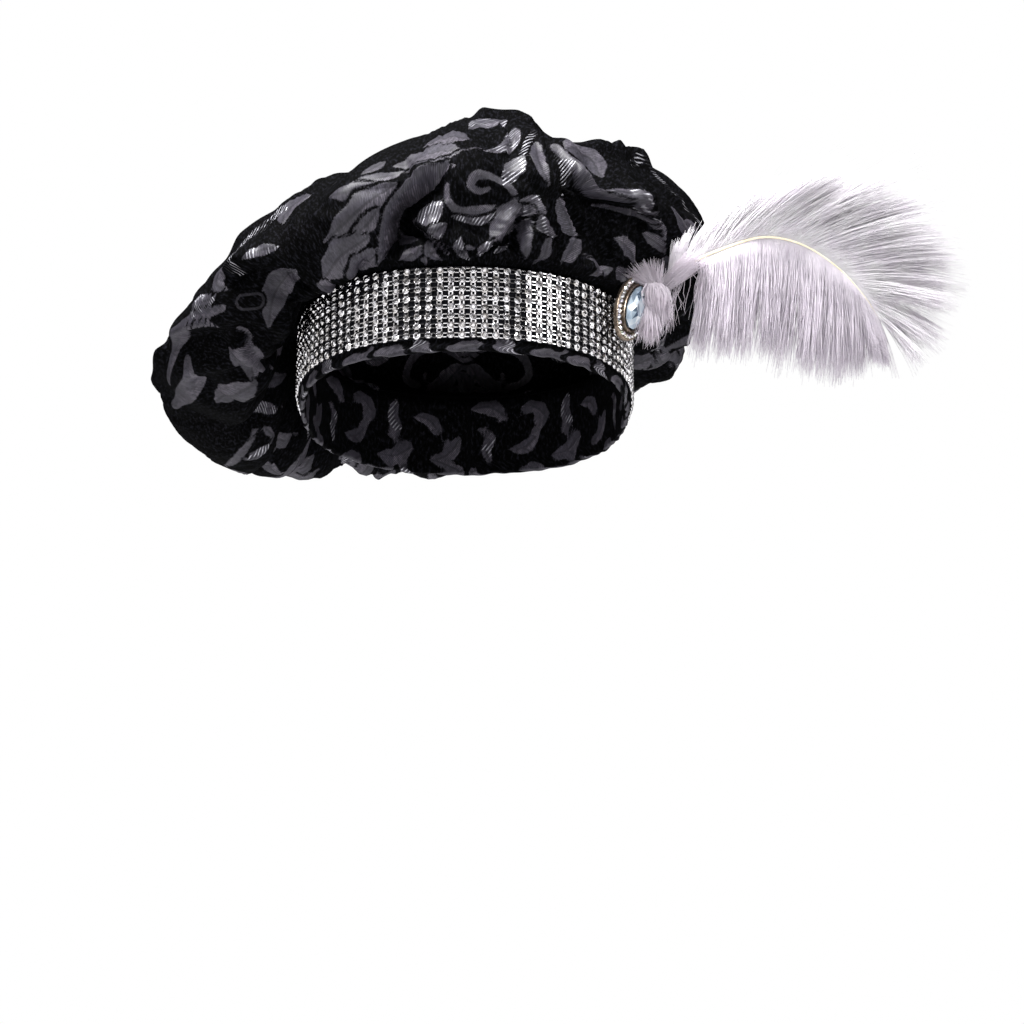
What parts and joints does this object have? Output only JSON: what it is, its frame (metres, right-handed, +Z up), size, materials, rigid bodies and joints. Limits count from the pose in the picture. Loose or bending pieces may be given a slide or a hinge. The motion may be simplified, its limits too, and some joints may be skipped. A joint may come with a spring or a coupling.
{
  "type": "tudor bonnet",
  "caption": "Soft brocade Tudor bonnet that droops to one side, with a rhinestone-mesh band, an oval brooch and an ostrich plume.",
  "frame": {"origin": "middle of the head opening, in the plane of the headband's lower edge", "axes": "+Z up along the band's axis, -Y to the front of the head, +X to the wearer's left"},
  "size_m": [0.3993, 0.2885, 0.1523],
  "materials": {
    "brocade": "black crepe ground with a grey satin leaf pattern",
    "silver_stones": "silver-plated faceted domes on a mesh ribbon",
    "setting_metal": "warm grey cast metal set with small clear stones",
    "crystal": "pale blue faceted stone",
    "feather": "off-white ostrich barbs, matte"
  },
  "bodies": {
    "root": {"headband": "brocade", "rhinestone_trim": "silver_stones", "crown": "brocade", "brooch_setting": "setting_metal", "brooch_stone": "crystal", "ostrich_plume": "feather", "plume_down": "feather"}
  },
  "joints": []
}
